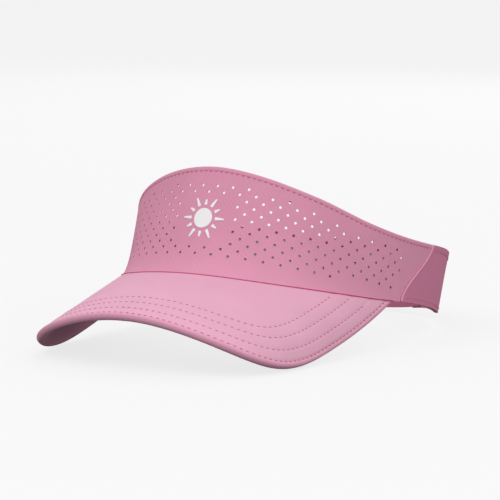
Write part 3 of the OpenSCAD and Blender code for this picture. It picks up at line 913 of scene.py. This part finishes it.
# Radii of the closure's layers, from the tab inward
R_LAYER = 0.1
TAB_IN = HALF_WIDTH + R_LAYER
TAB_OUT = TAB_IN + STRAP_T
HOOK_OUT = TAB_IN - R_LAYER / 2
HOOK_IN = HOOK_OUT - 0.8
LOOP_OUT = HOOK_IN - 0.4
LOOP_IN = LOOP_OUT - 0.9
UNDER_OUT = LOOP_IN - R_LAYER / 2
UNDER_IN = UNDER_OUT - STRAP_T
UNDER_START, UNDER_END = 142.0, 197.0
OVER_START, TAB_HINGE, TAB_END = 218.0, 190.0, 165.0


def ring_point(r, a, z):
    r, a, z = np.broadcast_arrays(r, np.radians(a), z)
    return placed(np.stack([r * np.sin(a), -r * np.cos(a), z], -1))


def arc_strap(name, r_in, r_out, a0, a1, z0, z1, material, edge=0.35, pile=0.0, round_end=0):
    """A strap along the rear circle with softened edges; round_end rounds its far end's corners."""
    steps = max(int(abs(a1 - a0) * 4), 12)
    rows = 34
    a = np.linspace(a0, a1, steps)[:, None]
    w = np.linspace(0, 1, rows)[None, :]
    half = (z1 - z0) / 2
    reach = np.radians(np.abs(a - (a1 if round_end > 0 else a0))) * HALF_WIDTH
    trim = np.ones_like(a)
    if round_end:
        corner = 7.0
        inward = np.clip(1 - reach / corner, 0, 1)
        trim = 1 - (1 - np.sqrt(1 - inward**2)) * corner / half
    z = (z0 + z1) / 2 + (2 * w - 1) * half * trim
    lens = edge * (np.abs(2 * w - 1) ** 8) * (r_out - r_in)
    rng = np.random.default_rng(len(name))
    rough = rng.uniform(0, pile, (steps, rows)) if pile else 0.0
    outer = ring_point(r_out - lens - rough, a, z)
    inner = ring_point(r_in + lens, a, z)
    uv = np.stack([np.broadcast_to(np.radians(a) * HALF_WIDTH, z.shape), z], -1) * MM
    if a1 < a0:
        outer, inner, uv = outer[::-1], inner[::-1], uv[::-1]
    return shell(name, outer, inner, uv, material)


def strap_stitches(name, r, side_out, spots, body):
    """Straight stitch rows on a strap; spots are lists of (angle, height share) ends."""
    rows = []
    for (a0, w0), (a1, w1) in spots:
        t = np.linspace(0, 1, 60)
        a = a0 + (a1 - a0) * t
        z = STRAP_LOW + STRAP_W * (w0 + (w1 - w0) * t)
        path = ring_point(r, a, z)
        up = (ring_point(r + 1, a, z) - path) * side_out
        rows.append(stitches("row", path, up, thread, length=2.0, gap=0.9))
    obj = joined(name, rows)
    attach(obj, body)
    return obj


def hooks(name, r, a0, a1, z0, z1, body):
    """A field of small moulded hooks that point inward from the hook tape."""
    points, faces = [], []
    half = math.radians(0.16)
    for i, a in enumerate(np.arange(a0 + 1.0, a1 - 0.8, 0.85)):
        for z in np.arange(z0 + 1.2 + (i % 2) * 0.6, z1 - 1.0, 1.2):
            base = len(points)
            for depth, size in ((0.0, 1.0), (0.16, 0.55), (0.26, 0.9), (0.32, 0.4)):
                for da, dz in ((-1, -1), (1, -1), (1, 1), (-1, 1)):
                    turn = a + math.degrees(half) * da * size
                    points.append(ring_point(r - depth, turn, z + 0.18 * dz * size))
            for k in range(3):
                for j in range(4):
                    q = base + 4 * k
                    faces.append([q + j, q + (j + 1) % 4, q + 4 + (j + 1) % 4, q + 4 + j])
            faces.append([base + j for j in (3, 2, 1, 0)])
            faces.append([base + 12 + j for j in range(4)])
    obj = new_object(name, points, faces, hook_plastic)
    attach(obj, body)
    return obj


def tack_box(a):
    """Two straight rows and a cross between them, starting at angle a."""
    b = a + 4
    return [((a, 0.1), (a, 0.9)), ((b, 0.1), (b, 0.9)), ((a, 0.1), (b, 0.9)), ((a, 0.9), (b, 0.1))]


def make_closure():
    z0, z1 = STRAP_LOW, STRAP_LOW + STRAP_W
    m = 1.5
    under = arc_strap("under_strap_webbing", UNDER_IN, UNDER_OUT, UNDER_START, UNDER_END, z0, z1, strap_cloth,
                      round_end=1)
    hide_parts("under_strap")
    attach(under, "left_wing")
    loops = arc_strap("loop_tape_pile", LOOP_IN, LOOP_OUT + 0.1, 155.0, UNDER_END - 2, z0 + m, z1 - m,
                      loop_pile, edge=0.5, pile=0.22, round_end=1)
    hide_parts("loop_tape")
    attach(loops, "left_wing")
    over = arc_strap("over_strap_webbing", TAB_IN, TAB_OUT, TAB_HINGE, OVER_START, z0, z1, strap_cloth)
    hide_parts("over_strap")
    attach(over, "right_wing")
    tab = arc_strap("closure_tab_webbing", TAB_IN, TAB_OUT, TAB_END, TAB_HINGE, z0, z1, strap_cloth,
                    round_end=-1)
    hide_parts("closure_tab")
    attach(tab, "tab")
    tape = arc_strap("hook_tape_base", HOOK_IN + 0.35, HOOK_OUT, TAB_END + 1, TAB_HINGE - 2, z0 + m, z1 - m,
                     hook_plastic, round_end=-1)
    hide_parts("hook_tape")
    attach(tape, "tab")
    hooks("tab_hooks", HOOK_IN + 0.36, TAB_END + 2, TAB_HINGE - 3, z0 + m + 1, z1 - m - 1, "tab")
    tack = strap_stitches("under_strap_tack", UNDER_IN - 0.12, -1, tack_box(UNDER_START + 1), "left_wing")
    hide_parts("left_strap_tack")
    tack = strap_stitches("over_strap_tack", TAB_OUT + 0.05, 1, tack_box(OVER_START - 5.1), "right_wing")
    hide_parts("right_strap_tack")
    edge = [((TAB_END + 2.2, 0.14), (TAB_HINGE - 1.5, 0.14)), ((TAB_END + 2.2, 0.86), (TAB_HINGE - 1.5, 0.86)),
            ((TAB_END + 2.2, 0.14), (TAB_END + 2.2, 0.86))]
    strap_stitches("tab_stitches", TAB_OUT + 0.02, 1, edge, "tab")


def finish_cad_nodes():
    """The sealed inner pieces keep their CAD shape and get their own materials."""
    for node, material in (("sweatband_foam", foam), ("brim_board", board), ("brim_seam_tape", tape_cloth)):
        obj = frame["nodes"][node]
        obj.data.materials.clear()
        obj.data.materials.append(material)


make_crown()
make_hem()
make_sweatband()
make_piping()
make_emblem()
make_brim()
make_seam()
make_wings()
make_closure()
finish_cad_nodes()


# --- Stage, light and camera ---

def make_stage():
    floor_material = bpy.data.materials.new("floor")
    floor_material.use_nodes = True
    tree = floor_material.node_tree
    tree.nodes.clear()
    out = tree.nodes.new("ShaderNodeOutputMaterial")
    diffuse = tree.nodes.new("ShaderNodeBsdfDiffuse")
    diffuse.inputs["Color"].default_value = (0.16, 0.16, 0.16, 1)
    glow = tree.nodes.new("ShaderNodeEmission")
    glow.inputs["Color"].default_value = (1, 1, 1, 1)
    path = tree.nodes.new("ShaderNodeLightPath")
    level = tree.nodes.new("ShaderNodeMath")
    level.operation = "MULTIPLY"
    level.inputs[1].default_value = 0.77
    add = tree.nodes.new("ShaderNodeAddShader")
    tree.links.new(path.outputs["Is Camera Ray"], level.inputs[0])
    tree.links.new(level.outputs[0], glow.inputs["Strength"])
    tree.links.new(diffuse.outputs[0], add.inputs[0])
    tree.links.new(glow.outputs[0], add.inputs[1])
    tree.links.new(add.outputs[0], out.inputs["Surface"])
    bpy.ops.mesh.primitive_plane_add(size=40, location=(0, 0, -0.0004))
    floor = bpy.context.object
    floor.name = "floor"
    floor.data.materials.append(floor_material)


def make_world():
    world = bpy.data.worlds.new("studio")
    bpy.context.scene.world = world
    world.use_nodes = True
    tree = world.node_tree
    tree.nodes.clear()
    out = tree.nodes.new("ShaderNodeOutputWorld")
    soft = tree.nodes.new("ShaderNodeBackground")
    soft.inputs["Color"].default_value = (1, 1, 1, 1)
    soft.inputs["Strength"].default_value = 0.74
    seen = tree.nodes.new("ShaderNodeBackground")
    seen.inputs["Color"].default_value = (0.93, 0.93, 0.93, 1)
    seen.inputs["Strength"].default_value = 1.0
    path = tree.nodes.new("ShaderNodeLightPath")
    mix = tree.nodes.new("ShaderNodeMixShader")
    tree.links.new(path.outputs["Is Camera Ray"], mix.inputs[0])
    tree.links.new(soft.outputs[0], mix.inputs[1])
    tree.links.new(seen.outputs[0], mix.inputs[2])
    tree.links.new(mix.outputs[0], out.inputs["Surface"])


def area_light(name, place, power, size):
    light = bpy.data.lights.new(name, "AREA")
    light.energy = power
    light.size = size
    obj = bpy.data.objects.new(name, light)
    bpy.context.scene.collection.objects.link(obj)
    obj.location = place
    aim = Vector((0, 0, 0.04)) - Vector(place)
    obj.rotation_euler = aim.to_track_quat("-Z", "Y").to_euler()


# The view that the object is shown in
AZIMUTH, ELEVATION = math.radians(30.25), math.radians(7.28)
AIM = Vector((-0.0217, 0.0345, 0.0424))
DISTANCE = 1.586
LENS = 202.0


def make_camera():
    back = Vector((math.sin(AZIMUTH) * math.cos(ELEVATION), -math.cos(AZIMUTH) * math.cos(ELEVATION),
                   math.sin(ELEVATION)))
    camera = bpy.data.cameras.new("camera")
    camera.sensor_width = 36
    camera.lens = LENS
    obj = bpy.data.objects.new("camera", camera)
    bpy.context.scene.collection.objects.link(obj)
    obj.location = AIM + back * DISTANCE
    obj.rotation_euler = back.to_track_quat("Z", "Y").to_euler()
    bpy.context.scene.camera = obj


make_stage()
make_world()
area_light("key", (-0.7, -1.3, 1.6), 11, 1.6)
area_light("fill", (1.6, -0.8, 0.9), 12, 1.8)
area_light("back", (-0.4, 1.7, 1.1), 9, 1.8)
make_camera()
bpy.context.scene.view_settings.view_transform = "Standard"
